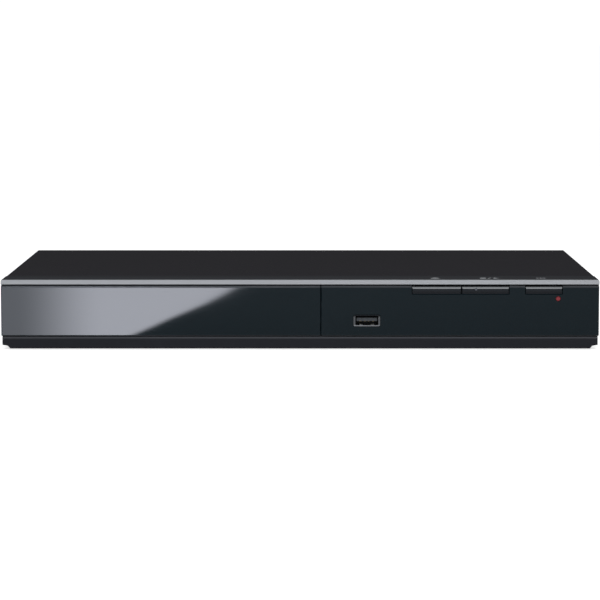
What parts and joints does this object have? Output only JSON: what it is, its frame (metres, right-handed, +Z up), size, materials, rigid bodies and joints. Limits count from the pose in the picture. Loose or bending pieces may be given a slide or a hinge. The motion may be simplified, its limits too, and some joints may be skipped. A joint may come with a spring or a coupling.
{
  "type": "disc player",
  "caption": "Slim black disc player with a motor-driven disc tray behind a glossy lid, silver strip, three keys, lamp, front data socket and rear sockets.",
  "frame": {"origin": "on the table under the middle of the object's box", "axes": "+X to the right seen from the front, along the width; +Y to the rear; +Z up"},
  "size_m": [0.325, 0.209, 0.0385],
  "materials": {
    "black_plastic": "fine moulded grain",
    "gloss_black": "high gloss, clear coated",
    "silver_trim": "satin silver",
    "black_steel": "fine textured black paint",
    "zinc_steel": "zinc plated sheet",
    "screw_steel": "plated",
    "rubber": "matt",
    "board": "solder masked laminate",
    "chip_black": "moulded resin",
    "lamp_red": "translucent red",
    "plated": "bright nickel",
    "loader_black": "moulded",
    "gear_white": "acetal",
    "motor_steel": "plated can",
    "brass": "turned",
    "turntable_grey": "moulded",
    "pickup_metal": "die cast",
    "pickup_black": "moulded",
    "lens": "clear coated",
    "capacitor": "sleeved can",
    "heatsink": "plain",
    "power_yellow": "taped",
    "socket_black": "moulded",
    "socket_colours": "moulded",
    "cable_white": "insulation"
  },
  "bodies": {
    "case": {"bottom_chassis": "zinc_steel", "top_cover": "black_steel", "rear_panel": "zinc_steel", "front_bezel": "black_plastic", "front_panel": "gloss_black", "trim_strip": "silver_trim", "rubber_feet": "rubber", "cover_screws": "screw_steel", "front_board": "board", "key_switches": "chip_black", "standby_lamp": "lamp_red", "usb_shell": "plated", "usb_tongue": "socket_black", "loader_frame": "loader_black", "loader_screws": "screw_steel", "loading_motor": "motor_steel", "drive_belt": "rubber", "clamper_bridge": "zinc_steel", "main_board": "board", "main_chips": "chip_black", "board_capacitors": "capacitor", "power_board": "board", "power_transformer": "chip_black", "power_heatsink": "heatsink", "power_parts": "power_yellow", "board_screws": "screw_steel", "av_sockets": "socket_black", "socket_barrels": "plated", "socket_inserts": "socket_colours", "mains_inlet": "socket_black", "inlet_pins": "plated", "front_cable": "cable_white", "power_harness": "cable_white"},
    "tray": {"disc_tray": "loader_black", "tray_lid": "gloss_black"},
    "drive_gear": {"drive_gear": "gear_white"},
    "pulley_gear": {"pulley_gear": "gear_white"},
    "motor_pulley": {"motor_pulley": "brass"},
    "cam_slider": {"cam_slider": "gear_white"},
    "traverse": {"traverse_frame": "loader_black", "traverse_dampers": "rubber", "damper_screws": "screw_steel", "traverse_plate": "zinc_steel", "guide_rods": "plated", "spindle_motor": "motor_steel", "feed_motor": "motor_steel"},
    "spindle": {"turntable": "turntable_grey", "turntable_pad": "rubber"},
    "clamper": {"clamper_puck": "loader_black", "clamper_yoke": "zinc_steel"},
    "pickup": {"pickup_body": "pickup_metal", "pickup_cover": "pickup_black", "pickup_lens": "lens", "feed_rack": "gear_white"},
    "feed_gear": {"feed_gear": "gear_white"},
    "feed_pinion": {"feed_pinion": "brass"},
    "open_close_key": {"open_close_key": "black_plastic"},
    "play_key": {"play_key": "black_plastic"},
    "power_key": {"power_key": "black_plastic"}
  },
  "joints": [
    {"name": "tray_slide", "type": "slide", "parent": "case", "child": "tray", "axis": [0, -1, 0], "range_m": [0, 0.142]},
    {"name": "drive_gear_turn", "type": "hinge", "parent": "case", "child": "drive_gear", "pos_m": [-0.1136, -0.0685, 0.011], "axis": [0, 0, 1], "range_deg": [0, 904.5]},
    {"name": "pulley_gear_turn", "type": "hinge", "parent": "case", "child": "pulley_gear", "pos_m": [-0.0904, -0.0685, 0.011], "axis": [0, 0, 1], "range_deg": [-2841.64, 0]},
    {"name": "motor_pulley_turn", "type": "hinge", "parent": "case", "child": "motor_pulley", "pos_m": [-0.0594, -0.0705, 0.0146], "axis": [0, 0, 1], "range_deg": [-9410.76, 0]},
    {"name": "cam_slide", "type": "slide", "parent": "case", "child": "cam_slider", "axis": [1, 0, 0], "range_m": [0, 0.012]},
    {"name": "traverse_tilt", "type": "hinge", "parent": "case", "child": "traverse", "pos_m": [-0.0756, 0.0595, 0.0124], "axis": [1, 0, 0], "range_deg": [0, 2.8]},
    {"name": "spindle_spin", "type": "hinge", "parent": "traverse", "child": "spindle", "pos_m": [-0.0756, -0.0245, 0.0205], "axis": [0, 0, 1], "continuous": true},
    {"name": "clamper_spin", "type": "hinge", "parent": "case", "child": "clamper", "pos_m": [-0.0756, -0.0245, 0.0205], "axis": [0, 0, 1], "continuous": true},
    {"name": "pickup_slide", "type": "slide", "parent": "traverse", "child": "pickup", "axis": [0, 1, 0], "range_m": [0, 0.034]},
    {"name": "feed_gear_turn", "type": "hinge", "parent": "traverse", "child": "feed_gear", "pos_m": [-0.0413, 0.0155, 0.0118], "axis": [0, 0, 1], "range_deg": [-398.06, 0]},
    {"name": "feed_pinion_turn", "type": "hinge", "parent": "traverse", "child": "feed_pinion", "pos_m": [-0.0372, 0.00138, 0.0118], "axis": [0, 0, 1], "range_deg": [0, 795.62]},
    {"name": "open_close_press", "type": "slide", "parent": "case", "child": "open_close_key", "axis": [0, 1, 0], "range_m": [0, 0.0005], "stiffness_N_per_m": 500, "springref_m": -0.0008},
    {"name": "play_press", "type": "slide", "parent": "case", "child": "play_key", "axis": [0, 1, 0], "range_m": [0, 0.0005], "stiffness_N_per_m": 500, "springref_m": -0.0008},
    {"name": "power_press", "type": "slide", "parent": "case", "child": "power_key", "axis": [0, 1, 0], "range_m": [0, 0.0005], "stiffness_N_per_m": 500, "springref_m": -0.0008}
  ],
  "couplings": [
    {"joint": "drive_gear_turn", "follows": "tray_slide", "rad_per_m": 111.11},
    {"joint": "pulley_gear_turn", "follows": "tray_slide", "rad_per_m": -349.21},
    {"joint": "motor_pulley_turn", "follows": "tray_slide", "rad_per_m": -1156.6},
    {"joint": "traverse_tilt", "follows": "cam_slide", "rad_per_m": 4.0724},
    {"joint": "clamper_spin", "follows": "spindle_spin", "ratio": 1},
    {"joint": "feed_gear_turn", "follows": "pickup_slide", "rad_per_m": -204.08},
    {"joint": "feed_pinion_turn", "follows": "pickup_slide", "rad_per_m": 408.16}
  ]
}
